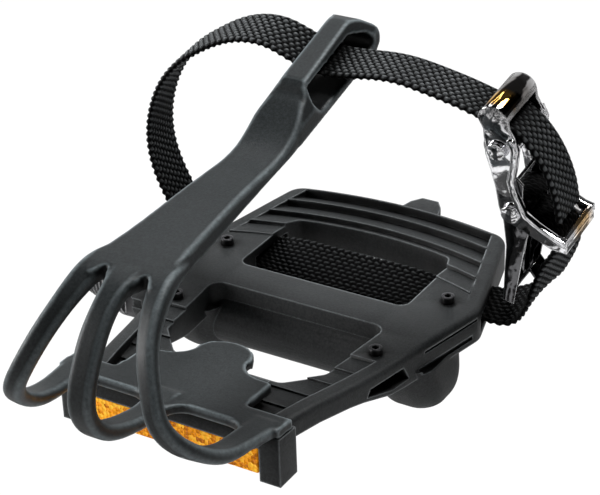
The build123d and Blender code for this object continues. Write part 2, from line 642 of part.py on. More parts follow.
with BuildPart() as buckle_frame:
    for sign in (1, -1):
        with BuildSketch(strap_plane.offset(sign * (CHEEK_GAP / 2 + CHEEK_T / 2))):
            with BuildLine():
                top_arc = ThreePointArc((guard_x + guard_out, guard_v), (guard_x, guard_v + guard_out),
                                        (guard_x - guard_out, guard_v))
                Polyline(top_arc @ 1, *cheek_line, top_arc @ 0)
            make_face()
            with Locations(RIVET_UP, RIVET_LOW):
                Circle(RIVET_R + 0.03, mode=Mode.SUBTRACT)
        extrude(amount=CHEEK_T / 2, both=True)
        with BuildSketch(strap_plane.offset(sign * (cheek_out - 0.1))):
            with BuildLine():
                Polyline(*rim_line, close=True)
            make_face()
        extrude(amount=sign * (RIM_T + 0.1))
    with BuildSketch(strap_plane):
        with Locations((guard_x, guard_v)):
            Circle(guard_out)
            Circle(guard_out - CHEEK_T, mode=Mode.SUBTRACT)
        with Locations((guard_x, guard_v - 10)):
            Rectangle(40, 20, mode=Mode.SUBTRACT)
    extrude(amount=cheek_out - CHEEK_T / 2, both=True)
    with BuildSketch(strap_plane):
        with Locations((70.0, 29.6)):
            Rectangle(1.2, 4.0)
    extrude(amount=cheek_out - CHEEK_T / 2, both=True)

buckle_frame.part.label = "buckle_frame"
export_step(buckle_frame.part, "parts/buckle_frame.step")

with BuildPart() as buckle_rivets:
    with BuildSketch(strap_plane):
        with Locations(RIVET_UP, RIVET_LOW):
            Circle(RIVET_R)
    extrude(amount=cheek_out + 0.1, both=True)
    for sign in (1, -1):
        with BuildSketch(strap_plane.offset(sign * (cheek_out + SEAT_GAP))):
            with Locations(RIVET_UP, RIVET_LOW):
                Circle(RIVET_R + 0.8)
        extrude(amount=sign * 0.9)

buckle_rivets.part.label = "buckle_rivets"
export_step(buckle_rivets.part, "parts/buckle_rivets.step")

with BuildPart() as buckle_roller:
    with BuildSketch(strap_plane):
        with Locations(RIVET_UP):
            Circle(ROLLER_R)
            Circle(RIVET_R + RUN_FIT, mode=Mode.SUBTRACT)
    extrude(amount=CHEEK_GAP / 2 - 0.35, both=True)

buckle_roller.part.label = "buckle_roller"
export_step(buckle_roller.part, "parts/buckle_roller.step")

# Release lever: a channel with two flanges, a web, a spring tongue and a clamping nose
flange_out = CHEEK_GAP / 2 - 0.3
flange_t = 0.7

with BuildPart() as buckle_lever:
    for sign in (1, -1):
        with BuildSketch(strap_plane.offset(sign * (flange_out - flange_t / 2))):
            with BuildLine():
                Polyline((53.2, 36), (54.2, 39), (55.0, 43.2), (57.0, 46.6), (58.9, 44.6), (58.4, 38),
                         (58.7, 33.5),
                         (59.6, 29.7), (58.8, 27.0), (54.4, 6.0), (51.4, 6.6), (53.2, 25.0), (52.8, 33),
                         close=True)
            make_face()
            with Locations(RIVET_LOW):
                Circle(RIVET_R + RUN_FIT, mode=Mode.SUBTRACT)
        extrude(amount=flange_t / 2, both=True)
    with BuildSketch(strap_plane):
        with BuildLine():
            Polyline((53.0, 26.5), (53.9, 26.4), (52.3, 6.4), (51.4, 6.6), (53.1, 25.0), close=True)
        make_face()
        with BuildLine():
            Polyline((55.1, 43.4), (57.0, 46.4), (57.6, 45.7), (55.9, 42.9), close=True)
        make_face()
    extrude(amount=flange_out - flange_t / 2, both=True)
    with BuildSketch(strap_plane):
        with BuildLine():
            Polyline((51.6, 6.6), (52.4, 6.3), (55.6, 11.6), (57.6, 14.7), (59.2, 12.4), (59.8, 12.9),
                     (57.6, 16.0),
                     (54.9, 12.0), close=True)
        make_face()
    extrude(amount=3.4, both=True)

buckle_lever.part.label = "buckle_lever"
export_step(buckle_lever.part, "parts/buckle_lever.step")

# Axle unit
spindle_round = turned([(-THREAD_LEN, 0), (-THREAD_LEN, THREAD_R - 1), (1 - THREAD_LEN, THREAD_R),
                       (0, THREAD_R),
                        (0, FLANGE_R), (FLATS_END, FLANGE_R), (FLATS_END, JOURNAL_R),
                        (JOURNAL_END, JOURNAL_R),
                        (JOURNAL_END, SHAFT_R), (SHAFT_END, SHAFT_R), (SHAFT_END, TAIL_R),
                        (SPINDLE_END, TAIL_R),
                        (SPINDLE_END, 0)])

with BuildPart() as spindle:
    add(spindle_round)
    for sign in (1, -1):
        with BuildSketch(Plane((0, sign * (FLATS / 2 + 5), 0), x_dir=(1, 0, 0), z_dir=(0, 1, 0))):
            with Locations(((FLANGE_LEN + FLATS_END) / 2, 0)):
                Rectangle(FLATS_END - FLANGE_LEN, 30)
        extrude(amount=5, both=True, mode=Mode.SUBTRACT)
    with BuildSketch(axle.offset(-THREAD_LEN)):
        RegularPolygon(3.46, 6)
    extrude(amount=7, mode=Mode.SUBTRACT)

spindle.part.label = "spindle"
export_step(spindle.part, "parts/spindle.step")

bolt_bore = JOURNAL_R + 0.4
seal_r = JOURNAL_R + 1.9
bolt_round = turned([(BOLT_START, seal_r + 0.05), (BOLT_START, BOLT_R), (BODY_IN - SEAT_GAP, BOLT_R),
                     (BODY_IN - SEAT_GAP, BORE_R - 0.04), (BOLT_END, BORE_R - 0.04), (BOLT_END, bolt_bore),
                     (BOLT_START + 3.2, bolt_bore), (BOLT_START + 3.2, seal_r + 0.05)])

with BuildPart() as lock_bolt:
    add(bolt_round)
    with BuildSketch(axle.offset(BOLT_START)):
        with PolarLocations(BOLT_R + 0.3, 8):
            Rectangle(2.2, 2.6)
    extrude(amount=BOLT_NOTCH, mode=Mode.SUBTRACT)

lock_bolt.part.label = "lock_bolt"
export_step(lock_bolt.part, "parts/lock_bolt.step")

seal = turned([(BOLT_START + 0.4, JOURNAL_R + RUN_FIT), (BOLT_START + 0.4, seal_r),
              (BOLT_START + 3.1, seal_r),
               (BOLT_START + 3.1, JOURNAL_R + RUN_FIT)])
seal.label = "spindle_seal"
export_step(seal, "parts/spindle_seal.step")

sleeve = turned([(BOLT_END + 0.1, SLEEVE_IN), (BOLT_END + 0.1, BORE_R - 0.03), (SLEEVE_END, BORE_R - 0.03),
                 (SLEEVE_END, SLEEVE_IN)])
sleeve.label = "axle_sleeve"
export_step(sleeve, "parts/axle_sleeve.step")

bushing = turned([(JOURNAL_END + 1, SHAFT_R + RUN_FIT), (JOURNAL_END + 1, SLEEVE_IN - 0.02),
                  (JOURNAL_END + 13, SLEEVE_IN - 0.02), (JOURNAL_END + 13, SHAFT_R + RUN_FIT)])
bushing.label = "inboard_bushing"
export_step(bushing, "parts/inboard_bushing.step")

with BuildPart() as bearing_balls:
    with Locations(axle.offset(BALL_X)):
        with PolarLocations(BALL_RING, BALLS):
            Sphere(BALL_R)

bearing_balls.part.label = "bearing_balls"
export_step(bearing_balls.part, "parts/bearing_balls.step")

cone_start = BALL_X + BALL_R + 0.15
cone_end = cone_start + 4.2
cone = turned([(cone_start, TAIL_R + 0.03), (cone_start, TAIL_R + 0.9), (cone_start + 1.2, TAIL_R + 2.0),
               (cone_end, TAIL_R + 2.0), (cone_end, TAIL_R + 0.03)])
cone.label = "bearing_cone"
export_step(cone, "parts/bearing_cone.step")

washer_end = cone_end + 0.03 + 1.0
lock_ring = turned([(cone_end + 0.03, TAIL_R + 0.05), (cone_end + 0.03, TAIL_R + 1.9),
                   (washer_end, TAIL_R + 1.9),
                    (washer_end, TAIL_R + 0.05)])
lock_ring.label = "lock_washer"
export_step(lock_ring, "parts/lock_washer.step")

with BuildPart() as lock_nut:
    with BuildSketch(axle.offset(washer_end + 0.03)):
        RegularPolygon(5.9, 6)
        Circle(TAIL_R + 0.03, mode=Mode.SUBTRACT)
    extrude(amount=3.4)

lock_nut.part.label = "lock_nut"
export_step(lock_nut.part, "parts/lock_nut.step")
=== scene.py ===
"""Toe clip pedal: looks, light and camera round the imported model."""
from math import cos, pi, radians, sin, tau

import bmesh
import bpy
import numpy as np
from mathutils import Matrix, Vector


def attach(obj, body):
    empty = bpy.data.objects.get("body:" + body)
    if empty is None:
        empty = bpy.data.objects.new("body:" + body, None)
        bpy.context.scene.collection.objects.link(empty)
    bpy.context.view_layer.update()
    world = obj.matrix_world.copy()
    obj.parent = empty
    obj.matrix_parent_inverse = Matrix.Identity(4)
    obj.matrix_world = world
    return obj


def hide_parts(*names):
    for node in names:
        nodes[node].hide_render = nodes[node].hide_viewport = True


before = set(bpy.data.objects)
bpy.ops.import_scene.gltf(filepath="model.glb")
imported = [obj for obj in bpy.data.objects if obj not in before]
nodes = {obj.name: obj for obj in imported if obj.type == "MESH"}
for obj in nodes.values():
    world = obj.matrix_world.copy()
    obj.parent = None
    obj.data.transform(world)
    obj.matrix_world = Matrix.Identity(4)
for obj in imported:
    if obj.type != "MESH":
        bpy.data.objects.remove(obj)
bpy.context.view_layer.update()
scene = bpy.context.scene

# Sizes are in millimetres, and MM turns them into the scene's metres
MM = 0.001

# The platform's middle plane and top face, and the leaning plane that the strap runs in
MID = 59.5
TOP = 12.0
LEAN = radians(9.0)
LEAN_Y = 20.8

# Webbing: half width, columns of lumps and their step along the run
STRAP_HALF = 6.3
COLUMNS = 10
WEAVE_STEP = 2.2

# Shading: the range that most of a noise lies in, and the black painted as shade into deep hollows
NOISE_RANGE = (0.3, 0.7)
PAINTED_SHADE_BLACK = (0.0, 0.0, 0.0)


def strap_point(x, v, w=0.0):
    """A point of the leaning strap plane: across, up along the plane, and over its width."""
    y = LEAN_Y - v * sin(LEAN) + w * cos(LEAN)
    z = TOP + v * cos(LEAN) + w * sin(LEAN)
    return Vector((MID + x, y, z)) * MM


# Shader helpers
class Tree:
    """A node tree under construction, with short calls for the common nodes."""

    def __init__(self, tree):
        self.tree = tree
        tree.nodes.clear()

    def link(self, a, b):
        self.tree.links.new(a, b)

    def put(self, socket, value):
        """Sets a socket to a number or colour, or links an output to it."""
        if isinstance(value, bpy.types.NodeSocket):
            self.link(value, socket)
        elif isinstance(value, (tuple, list)) and len(value) == 3 and socket.type == "RGBA":
            socket.default_value = (*value, 1.0)
        else:
            socket.default_value = value

    def node(self, kind, **values):
        """A new node, with its inputs and settings by name."""
        made = self.tree.nodes.new(kind)
        for key, value in values.items():
            if key in made.inputs:
                self.put(made.inputs[key], value)
            else:
                setattr(made, key, value)
        return made

    def span(self, value, low, high, to_low, to_high, smooth=False):
        """A value brought from one range to another and kept within it."""
        made = self.node("ShaderNodeMapRange")
        if smooth:
            made.interpolation_type = "SMOOTHSTEP"
        for key, item in zip(("Value", "From Min", "From Max", "To Min", "To Max"),
                             (value, low, high, to_low, to_high)):
            self.put(made.inputs[key], item)
        return made.outputs["Result"]

    def math(self, kind, a, b=0.0):
        made = self.node("ShaderNodeMath", operation=kind)
        self.put(made.inputs[0], a)
        self.put(made.inputs[1], b)
        return made.outputs[0]

    def measure(self, kind, a, b):
        """A number from two vectors, such as their distance or dot product."""
        made = self.node("ShaderNodeVectorMath", operation=kind)
        self.put(made.inputs[0], a)
        self.put(made.inputs[1], b)
        return made.outputs["Value"]

    def split(self, vector):
        return self.node("ShaderNodeSeparateXYZ", Vector=vector).outputs


class Material(Tree):
    """A surface material round one principled shader."""

    def __init__(self, name):
        self.mat = bpy.data.materials.new(name)
        self.mat.use_nodes = True
        super().__init__(self.mat.node_tree)
        self.out = self.node("ShaderNodeOutputMaterial")
        self.bsdf = self.node("ShaderNodeBsdfPrincipled")
        self.link(self.bsdf.outputs["BSDF"], self.out.inputs["Surface"])

    def shade(self, **values):
        for key, value in values.items():
            self.put(self.bsdf.inputs[key.replace("_", " ")], value)

    def object_coords(self):
        return self.node("ShaderNodeTexCoord").outputs["Object"]

    def uv(self):
        return self.node("ShaderNodeTexCoord").outputs["UV"]

    def noise(self, vector, scale, detail=3.0, rough=0.55):
        made = self.node("ShaderNodeTexNoise", Vector=vector, Scale=scale, Detail=detail, Roughness=rough)
        return made.outputs["Fac"]

    def stretched(self, vector, scale, turn=0.0):
        """Coordinates scaled by different amounts along the axes and turned about the third."""
        made = self.node("ShaderNodeMapping", Vector=vector, Scale=scale, Rotation=(0.0, 0.0, turn))
        return made.outputs["Vector"]

    def mix(self, fac, a, b):
        made = self.node("ShaderNodeMix", data_type="RGBA")
        factor, first, second = made.inputs[0], made.inputs[6], made.inputs[7]
        self.put(factor, fac)
        self.put(first, a)
        self.put(second, b)
        return made.outputs[2]

    def openness(self, reach):
        """How open the space round a point is, within a reach."""
        return self.node("ShaderNodeAmbientOcclusion", samples=6, Distance=reach * MM).outputs["AO"]

    def paint_shade(self, colour, openness, low, high, least):
        """Paints shade into a colour where the space round it is closed, down to the least share of it."""
        return self.mix(self.span(openness, low, high, least, 1.0), PAINTED_SHADE_BLACK, colour)

    def rounded(self, radius):
        """The normal with edges rounded to a radius, and how far it turns there."""
        soft = self.node("ShaderNodeBevel", samples=6, Radius=radius * MM).outputs["Normal"]
        plain = self.node("ShaderNodeNewGeometry").outputs["Normal"]
        return soft, self.math("SUBTRACT", 1.0, self.measure("DOT_PRODUCT", soft, plain))

    def bump(self, height, strength, depth, normal=None):
        made = self.node("ShaderNodeBump", Height=height, Strength=strength, Distance=depth * MM)
        if normal is not None:
            self.link(normal, made.inputs["Normal"])
        return made.outputs["Normal"]


def floor_material():
    """Pale floor: white to the camera, with patches of light and dark for the plating to mirror."""
    patch_scale, patch_edge = 24.0, (0.50, 0.53)
    camera_share, mirror_share = 0.97, 0.96
    n = Material("studio_floor")
    n.shade(Base_Color=(0.92, 0.92, 0.92), Roughness=0.9)
    rays = n.node("ShaderNodeLightPath").outputs
    plain = n.math("MAXIMUM", rays["Is Camera Ray"], rays["Is Transmission Ray"])
    patches = n.span(n.noise(n.object_coords(), patch_scale, detail=1.0), *patch_edge, 0.0, 1.0)
    glow = n.node("ShaderNodeEmission", Strength=n.math("MAXIMUM", plain, patches))
    share = n.math("MAXIMUM", n.math("MULTIPLY", plain, camera_share),
                   n.math("MULTIPLY", rays["Is Glossy Ray"], mirror_share))
    blend = n.node("ShaderNodeMixShader", Fac=share)
    n.link(n.bsdf.outputs["BSDF"], blend.inputs[1])
    n.link(glow.outputs["Emission"], blend.inputs[2])
    n.link(blend.outputs["Shader"], n.out.inputs["Surface"])
    return n.mat


def moulded(name, dark, light, rough, grain, grain_scale, gloss=0.25, even_mesh=False):
    """Moulded resin: speckled grain, slow mottling, a painted highlight along rounded edges, painted shade
    in corners and creases.

    On an even mesh the painted highlight also follows the crests of round forms.
    """
    mottle_scale, dust_scale, speck_scale = 55.0, 900.0, 1500.0
    edge_radius, crease_reach, hollow_reach = 0.9, 3.0, 30.0
    edge_range, crest_range, edge_highlight_share = (0.01, 0.10), (0.507, 0.532), 0.9
    open_range, dust_range, least_dust = (0.5, 0.8), (0.3, 0.65), 0.5
    speck_range, most_speck = (0.36, 0.66), 0.65
    hollow_range, hollow_least = (0.4, 0.98), 0.04
    crease_range, crease_least = (0.45, 0.9), 0.08
    rough_spread, mottle_share = 0.07, 0.6
    speck_tone = tuple(c * 2.4 for c in light)
    # Painted highlight: a far lighter copy of the resin's tone, laid along convex edges and crests
    painted_highlight_tone = tuple(c * 14.0 for c in light)
    n = Material(name)
    at = n.object_coords()
    slow = n.noise(at, mottle_scale, detail=4.0)
    fine = n.noise(at, grain_scale, detail=2.0, rough=0.6)
    dust = n.noise(at, dust_scale, rough=0.7)
    speck = n.noise(at, speck_scale, rough=0.75)
    soft, turned = n.rounded(edge_radius)
    near = n.openness(crease_reach)
    edge = n.span(turned, *edge_range, 0.0, edge_highlight_share)
    if even_mesh:
        crest = n.node("ShaderNodeNewGeometry").outputs["Pointiness"]
        edge = n.math("MAXIMUM", edge, n.span(crest, *crest_range, 0.0, edge_highlight_share))
    edge = n.math("MULTIPLY", edge, n.span(near, *open_range, 0.0, 1.0))
    painted_edge_light = n.math("MULTIPLY", edge, n.span(dust, *dust_range, least_dust, 1.0))
    tone = n.mix(n.span(slow, *NOISE_RANGE, 0.0, 1.0), dark, light)
    tone = n.mix(n.span(speck, *speck_range, 0.0, most_speck), tone, speck_tone)
    # Painted highlight along convex edges and crests, broken up by noise
    tone = n.mix(painted_edge_light, tone, painted_highlight_tone)
    # Painted shade: the colour darkens in hollows and in tight creases, where the space round it is closed
    tone = n.paint_shade(tone, n.openness(hollow_reach), *hollow_range, hollow_least)
    tone = n.paint_shade(tone, near, *crease_range, crease_least)
    swell = n.bump(slow, strength=0.08, depth=0.6, normal=soft)
    blotch = n.math("ADD", n.math("MULTIPLY", slow, mottle_share),
                    n.math("MULTIPLY", fine, 1 - mottle_share))
    n.shade(Base_Color=tone, Specular_IOR_Level=gloss,
            Roughness=n.span(blotch, *NOISE_RANGE, rough - rough_spread, rough + rough_spread),
            Normal=n.bump(fine, strength=grain, depth=0.2, normal=swell))
    return n.mat


def chrome(name, tint, rough, spots=()):
    """Plating with slight waviness, smears, fine scratches and a painted highlight on its edges, tarnished
    in a few spots.

    A spot is its middle, its reach and the colour of its stain.
    """
    wave_scale, smear_scale, scratch_scale = 130.0, 420.0, 3.0
    scratch_stretch = (60.0, 1400.0, 1400.0)
    # The near-white edge colour is a painted highlight, standing in for the bright backdrop mirrored in
    # rounded edges
    edge_radius, edge_range, chrome_edge_highlight = 0.5, (0.02, 0.15), (0.95, 0.95, 0.96)
    smear_range = (0.35, 0.75)
    smear_tone = tuple(c * 0.82 for c in tint)
    rough_spread = 0.04
    stain_strength, stain_core, ragged_edge = 0.9, 0.5, 6.0
    n = Material(name)
    at = n.object_coords()
    wave = n.noise(at, wave_scale, detail=2.0)
    smear = n.noise(at, smear_scale, detail=5.0, rough=0.65)
    scratch = n.noise(n.stretched(at, scratch_stretch), scratch_scale, rough=0.6)
    tone = n.mix(n.span(smear, *smear_range, 0.0, 1.0), tint, smear_tone)
    soft, turned = n.rounded(edge_radius)
    # Painted highlight on the rounded edges
    tone = n.mix(n.span(turned, *edge_range, 0.0, 1.0), tone, chrome_edge_highlight)
    for spot, reach, stain in spots:
        ragged = n.math("MULTIPLY", n.math("SUBTRACT", wave, 0.5), ragged_edge * MM)
        away = n.math("ADD", n.measure("DISTANCE", at, spot), ragged)
        tone = n.mix(n.span(away, reach * stain_core * MM, reach * MM, stain_strength, 0.0), tone, stain)
    swell = n.bump(wave, strength=0.42, depth=0.8, normal=soft)
    n.shade(Base_Color=tone, Metallic=1.0,
            Roughness=n.span(smear, *NOISE_RANGE, rough, rough + rough_spread),
            Normal=n.bump(scratch, strength=0.05, depth=0.1, normal=swell))
    return n.mat


def webbing_material():
    """Black webbing: painted highlights on the crowns of the woven lumps, painted shade in the gaps, fine
    twisted fibres.

    From a little above the platform's top downwards, the yarn and its crown highlights are painted darker,
    as painted shade.
    """
    # The gap colour is painted shade, and the crown colour is a painted highlight
    gap_painted_shade, painted_highlight_tone = (0.001, 0.001, 0.0011), (0.145, 0.153, 0.158)
    shaded_yarn, lit_yarn = (0.018, 0.0190, 0.0196), (0.036, 0.0380, 0.0390)
    flank_range, crest_range = (0.08, 0.5), (0.3, 0.95)
    least_frayed, least_patch = 0.25, 0.5
    hollow_range, hollow_least = (0.62, 0.95), 0.03
    shade_fade_from, shade_fade_to, least_lit_share = TOP * MM, 2.2 * TOP * MM, 0.05
    fibre_stretch, fibre_turn, fibre_scale = (0.9, 5.2, 1.0), 0.32, 1.6
    fuzz_scale, patch_scale, hollow_reach = 2600.0, 60.0, 30.0
    smooth_yarn, rough_yarn = 0.5, 0.7
    n = Material("webbing_yarn")
    uv = n.uv()
    run = n.split(uv)
    column = n.math("DIVIDE", n.math("ADD", run["Y"], STRAP_HALF), 2 * STRAP_HALF / COLUMNS)
    offset = n.math("SUBTRACT", n.math("MULTIPLY", n.math("FRACT", column), 2.0), 1.0)
    square = n.math("MULTIPLY", offset, offset)
    crown = n.math("SUBTRACT", 1.0, n.math("MULTIPLY", square, square))
    turn = n.math("ADD", n.math("DIVIDE", run["X"], WEAVE_STEP),
                  n.math("MULTIPLY", n.math("FLOOR", column), 0.5))
    wave = n.math("COSINE", n.math("MULTIPLY", turn, tau))
    lump = n.math("MULTIPLY", crown, n.math("ADD", n.math("MULTIPLY", wave, 0.5), 0.5))
    fibre = n.noise(n.stretched(uv, fibre_stretch, fibre_turn), fibre_scale, rough=0.6)
    at = n.object_coords()
    fuzz = n.noise(at, fuzz_scale, detail=2.0, rough=0.6)
    slow = n.noise(at, patch_scale)
    # Painted shade: the yarn darkens from a little above the platform's top down to the run in the window
    lit_by_height = n.span(n.split(at)["Z"], shade_fade_from, shade_fade_to, least_lit_share, 1.0)
    yarn = n.mix(lit_by_height, shaded_yarn, lit_yarn)
    # Painted shade in the gaps between the lumps
    tone = n.mix(n.span(lump, *flank_range, 0.0, 1.0), gap_painted_shade, yarn)
    crests = n.math("MULTIPLY", n.span(lump, *crest_range, 0.0, 1.0), lit_by_height)
    frayed = n.math("MULTIPLY", n.span(fibre, *NOISE_RANGE, least_frayed, 1.0),
                    n.span(slow, *NOISE_RANGE, least_patch, 1.0))
    # Painted highlight on the crowns of the lumps, broken up by fibre and patch noise
    tone = n.mix(n.math("MULTIPLY", crests, frayed), tone, painted_highlight_tone)
    # Painted shade in hollows
    tone = n.paint_shade(tone, n.openness(hollow_reach), *hollow_range, hollow_least)
    n.shade(Base_Color=tone, Specular_IOR_Level=0.06,
            Roughness=n.span(fibre, *NOISE_RANGE, smooth_yarn, rough_yarn),
            Normal=n.bump(fuzz, strength=0.15, depth=0.1, normal=n.bump(fibre, strength=0.4, depth=0.2)))
    return n.mat


def lens_material():
    """Amber reflector: clear skin over rows of small corner prisms, with the light they catch and lose
    painted into the colour as painted glints and glow.
    """
    prism_scale, prism_disorder = 880.0, 0.55
    spark_scale, glow_scale = 1400.0, 120.0
    cell_share, spark_share, glow_share = 0.45, 0.5, 0.25
    stops = ((0.36, (0.36, 0.09, 0.001, 1.0)),
             (0.56, (0.84, 0.285, 0.002, 1.0)),
             (0.86, (1.0, 0.55, 0.04, 1.0)))
    n = Material("amber_prisms")
    at = n.object_coords()
    cells = n.node("ShaderNodeTexVoronoi", feature="F1", Vector=at, Scale=prism_scale,
                   Randomness=prism_disorder)
    cell_tone = n.node("ShaderNodeSeparateColor", Color=cells.outputs["Color"]).outputs[0]
    # Painted glints and glow: noise that lightens the amber as if the prisms caught the light
    spark = n.math("MULTIPLY", n.noise(at, spark_scale, detail=2.0, rough=0.7), spark_share)
    glow = n.math("MULTIPLY", n.noise(at, glow_scale, detail=2.0), glow_share)
    level = n.math("ADD", n.math("MULTIPLY", cell_tone, cell_share), n.math("ADD", spark, glow))
    ramp = n.node("ShaderNodeValToRGB", Fac=level)
    marks = ramp.color_ramp.elements
    marks.new(stops[1][0])
    for mark, (position, colour) in zip(marks, stops):
        mark.position = position
        mark.color = colour
    amber_with_painted_glints = ramp.outputs["Color"]
    # Painted light: the lens also glows faintly in its own amber, though it is no lamp
    n.shade(Base_Color=amber_with_painted_glints, Roughness=0.4, Specular_IOR_Level=0.06, Coat_Weight=0.04,
            Coat_Roughness=0.06, Emission_Color=amber_with_painted_glints, Emission_Strength=0.12,
            Normal=n.bump(cells.outputs["Distance"], strength=0.5, depth=0.8))
    return n.mat


# Finishes of the solids
RESIN_DARK, RESIN_LIGHT = (0.0092, 0.0099, 0.0103), (0.0148, 0.0160, 0.0166)
CLIP_DARK, CLIP_LIGHT = (0.0069, 0.0081, 0.0086), (0.0107, 0.0125, 0.0132)
PIN_DARK, PIN_LIGHT = (0.0022, 0.0022, 0.0024), (0.005, 0.005, 0.0055)
BUSH_DARK, BUSH_LIGHT = (0.52, 0.50, 0.46), (0.62, 0.60, 0.56)
TARNISH = ((strap_point(52.2, 67.4, 0.0), 12.0, (0.09, 0.078, 0.07)),
           (strap_point(52.4, 67.4, -3.4), 4.6, (0.90, 0.50, 0.11)),
           (strap_point(70.0, 29.6, 2.0), 6.5, (0.80, 0.50, 0.20)))

FINISHES = (
    (moulded("platform_resin", RESIN_DARK, RESIN_LIGHT, rough=0.47, grain=0.45, grain_scale=3600.0,
             gloss=0.22),
     ("pedal_body", "lock_bolt", "spindle_seal")),
    (moulded("clip_resin", CLIP_DARK, CLIP_LIGHT, rough=0.42, grain=0.25, grain_scale=3600.0, gloss=0.27,
             even_mesh=True),
     ("toe_clip",)),
    (moulded("blackened_steel", PIN_DARK, PIN_LIGHT, rough=0.35, grain=0.15, grain_scale=5200.0),
     ("traction_pins",)),
    (chrome("buckle_chrome", (0.90, 0.90, 0.92), rough=0.04, spots=TARNISH),
     ("buckle_frame", "buckle_rivets", "buckle_roller")),
    # Painted reflection: the lever's plating is a much darker copy of the buckle's, standing in for the dark
    # room it mirrors
    (chrome("lever_painted_dark_chrome", (0.13, 0.13, 0.135), rough=0.05), ("buckle_lever",)),
    (chrome("axle_steel", (0.50, 0.50, 0.50), rough=0.25),
     ("axle_sleeve", "bearing_balls", "bearing_cone", "lock_washer", "lock_nut", "clip_screws",
      "clip_washers")),
    (moulded("bushing_resin", BUSH_DARK, BUSH_LIGHT, rough=0.45, grain=0.2, grain_scale=4200.0),
     ("inboard_bushing",)),
    (lens_material(), ("front_reflector", "reflector_base")),
)
for finish, names in FINISHES:
    for name in names:
        nodes[name].data.materials.clear()
        nodes[name].data.materials.append(finish)

# Edge rounding of the solids that show, by its width
EDGE_WIDTHS = {"pedal_body": 0.35, "lock_bolt": 0.4, "traction_pins": 0.22, "buckle_frame": 0.16,
               "buckle_lever": 0.14, "buckle_rivets": 0.3, "buckle_roller": 0.3, "front_reflector": 0.2}
EDGE_ANGLE = radians(32.0)
EDGE_SEGMENTS = 2
WELD_REACH = 0.002


def weld(obj):
    """Joins the solid's faces where their vertices meet."""
    obj.modifiers.new("weld", "WELD").merge_threshold = WELD_REACH * MM


def soften(obj, width):
    """Rounds the sharp edges of a solid and shades it smoothly between them."""
    weld(obj)
    bevel = obj.modifiers.new("bevel", "BEVEL")
    bevel.width = width * MM
    bevel.segments = EDGE_SEGMENTS
    bevel.limit_method = "ANGLE"
    bevel.angle_limit = EDGE_ANGLE
    bevel.harden_normals = True
    bevel.use_clamp_overlap = True
    for face in obj.data.polygons:
        face.use_smooth = True


for name, width in EDGE_WIDTHS.items():
    soften(nodes[name], width)

# Toe clip: its pieces run into each other as one moulding
CLIP_VOXEL = 0.48
RELAX_SHARE, RELAX_ROUNDS = 0.5, 7

weld(nodes["toe_clip"])
flow = nodes["toe_clip"].modifiers.new("flow", "REMESH")
flow.mode = "VOXEL"
flow.voxel_size = CLIP_VOXEL * MM
flow.use_smooth_shade = True
relax = nodes["toe_clip"].modifiers.new("relax", "SMOOTH")
relax.factor = RELAX_SHARE
relax.iterations = RELAX_ROUNDS


def new_piece(name, verts, faces, material, body, slot, replaced):
    """A smooth mesh piece that rides on a body in place of a solid."""
    mesh = bpy.data.meshes.new(name)
    mesh.from_pydata([tuple(v) for v in verts], [], faces)
    whole = bmesh.new()
    whole.from_mesh(mesh)
    bmesh.ops.recalc_face_normals(whole, faces=whole.faces)
    whole.to_mesh(mesh)
    whole.free()
    for face in mesh.polygons:
        face.use_smooth = True
    obj = bpy.data.objects.new(name, mesh)
    scene.collection.objects.link(obj)
    mesh.materials.append(material)
    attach(obj, body)
    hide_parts(replaced)
    return obj


def spline(points, count, samples=6000):
    """A natural cubic curve through points, as places and directions at even steps of its length."""
    at = np.array(points, dtype=float)
    knots = np.concatenate(([0.0], np.cumsum(np.linalg.norm(np.diff(at, axis=0), axis=1))))
    gap = np.diff(knots)
    size = len(at)
    system = np.eye(size)
    wanted = np.zeros_like(at)
    for i in range(1, size - 1):
        system[i, i - 1:i + 2] = gap[i - 1], 2 * (gap[i - 1] + gap[i]), gap[i]
        wanted[i] = 6 * ((at[i + 1] - at[i]) / gap[i] - (at[i] - at[i - 1]) / gap[i - 1])
    bend = np.linalg.solve(system, wanted)

    def place(t):
        i = np.clip(np.searchsorted(knots, t, side="right") - 1, 0, size - 2)
        h = gap[i][:, None]
        a = ((knots[i + 1] - t) / gap[i])[:, None]
        b = 1 - a
        return a * at[i] + b * at[i + 1] + ((a ** 3 - a) * bend[i] + (b ** 3 - b) * bend[i + 1]) * h * h / 6

    fine = np.linspace(0, knots[-1], samples)
    track = place(fine)
    run = np.concatenate(([0.0], np.cumsum(np.linalg.norm(np.diff(track, axis=0), axis=1))))
    even = np.linspace(0, run[-1], count)
    spots = place(np.interp(even, run, fine))
    heading = np.gradient(spots, even, axis=0)
    heading /= np.linalg.norm(heading, axis=1)[:, None]
    return even, spots, heading


